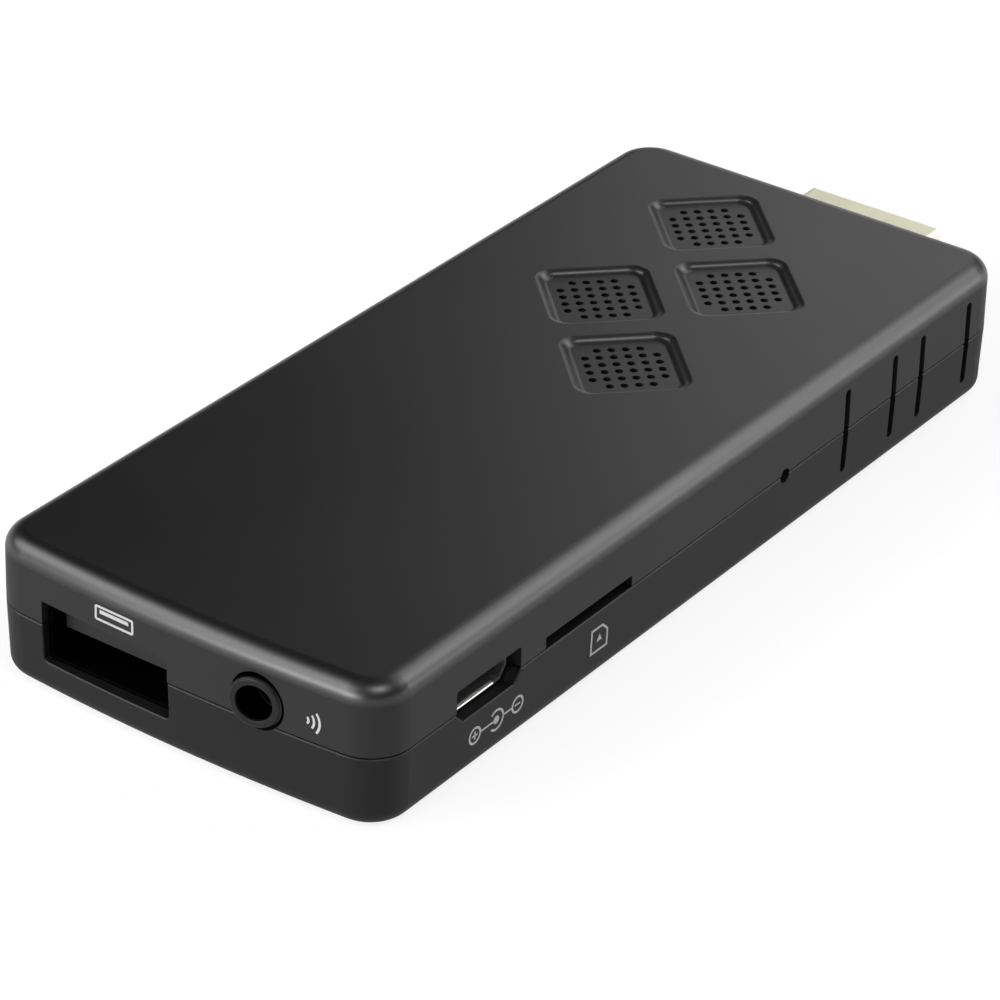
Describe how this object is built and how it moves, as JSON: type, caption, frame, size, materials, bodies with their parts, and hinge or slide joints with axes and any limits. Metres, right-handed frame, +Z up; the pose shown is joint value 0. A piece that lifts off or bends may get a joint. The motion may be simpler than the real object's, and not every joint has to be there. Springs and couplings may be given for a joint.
{
  "type": "streaming stick",
  "caption": "Flat black TV stick with an HDMI plug on one end, USB-A socket and IR jack on the other, micro-USB socket, card slot, reset pinhole and vents.",
  "frame": {"origin": "middle of the casing's flat underside", "axes": "+X along the stick towards the HDMI plug, +Z up out of the top cover; the long side with the micro-USB socket and card slot faces -Y"},
  "size_m": [0.1009, 0.0384, 0.0126],
  "materials": {
    "casing_plastic": "satin black moulded plastic",
    "board_green": "green solder mask",
    "screw_steel": "zinc plated",
    "chip_black": "moulded package",
    "pad_silicone": "soft pad",
    "sink_aluminium": "plain extruded",
    "antenna_ceramic": "ceramic",
    "ferrite_grey": "ferrite",
    "capacitor_tan": "ceramic",
    "crystal_can": "tin can",
    "plug_gold": "pale gold plating",
    "socket_steel": "tin plated sheet",
    "moulded_black": "glass filled nylon",
    "slider_white": "white acetal",
    "contact_gold": "gold flash",
    "spring_steel": "spring wire"
  },
  "bodies": {
    "stick": {"top_cover": "casing_plastic", "bottom_cover": "casing_plastic", "main_board": "board_green", "wifi_board": "board_green", "board_screws": "screw_steel", "soc_chip": "chip_black", "ram_chips": "chip_black", "flash_chip": "chip_black", "wifi_chip": "chip_black", "power_chip": "chip_black", "thermal_pad": "pad_silicone", "heat_sink": "sink_aluminium", "chip_antenna": "antenna_ceramic", "power_inductors": "ferrite_grey", "bulk_capacitors": "capacitor_tan", "small_capacitors": "capacitor_tan", "clock_crystals": "crystal_can", "hdmi_plug_shell": "plug_gold", "usb_a_shell": "socket_steel", "micro_usb_shell": "socket_steel", "card_socket_cover": "socket_steel", "reset_switch_frame": "socket_steel", "wifi_shield_can": "socket_steel", "hdmi_plug_insulator": "moulded_black", "usb_a_tongue": "moulded_black", "ir_jack_housing": "moulded_black", "ir_jack_collar": "moulded_black", "micro_usb_tongue": "moulded_black", "card_socket_base": "moulded_black", "reset_switch_body": "moulded_black", "hdmi_plug_contacts": "contact_gold", "usb_a_contacts": "contact_gold", "ir_jack_springs": "contact_gold", "micro_usb_contacts": "contact_gold", "card_contacts": "contact_gold", "card_eject_spring": "spring_steel", "card_cam_wire": "spring_steel", "reset_dome": "spring_steel"},
    "card_slider": {"card_slider": "slider_white"},
    "reset_plunger": {"reset_plunger": "slider_white"}
  },
  "joints": [
    {"name": "card_slide", "type": "slide", "parent": "stick", "child": "card_slider", "axis": [0, 1, 0], "range_m": [0, 0.004], "stiffness_N_per_m": 250, "springref_m": -0.003, "deforming": ["card_eject_spring"]},
    {"name": "reset_press", "type": "slide", "parent": "stick", "child": "reset_plunger", "axis": [0, 1, 0], "range_m": [0, 0.00025], "stiffness_N_per_m": 4000, "springref_m": -0.0001, "deforming": ["reset_dome"]}
  ]
}
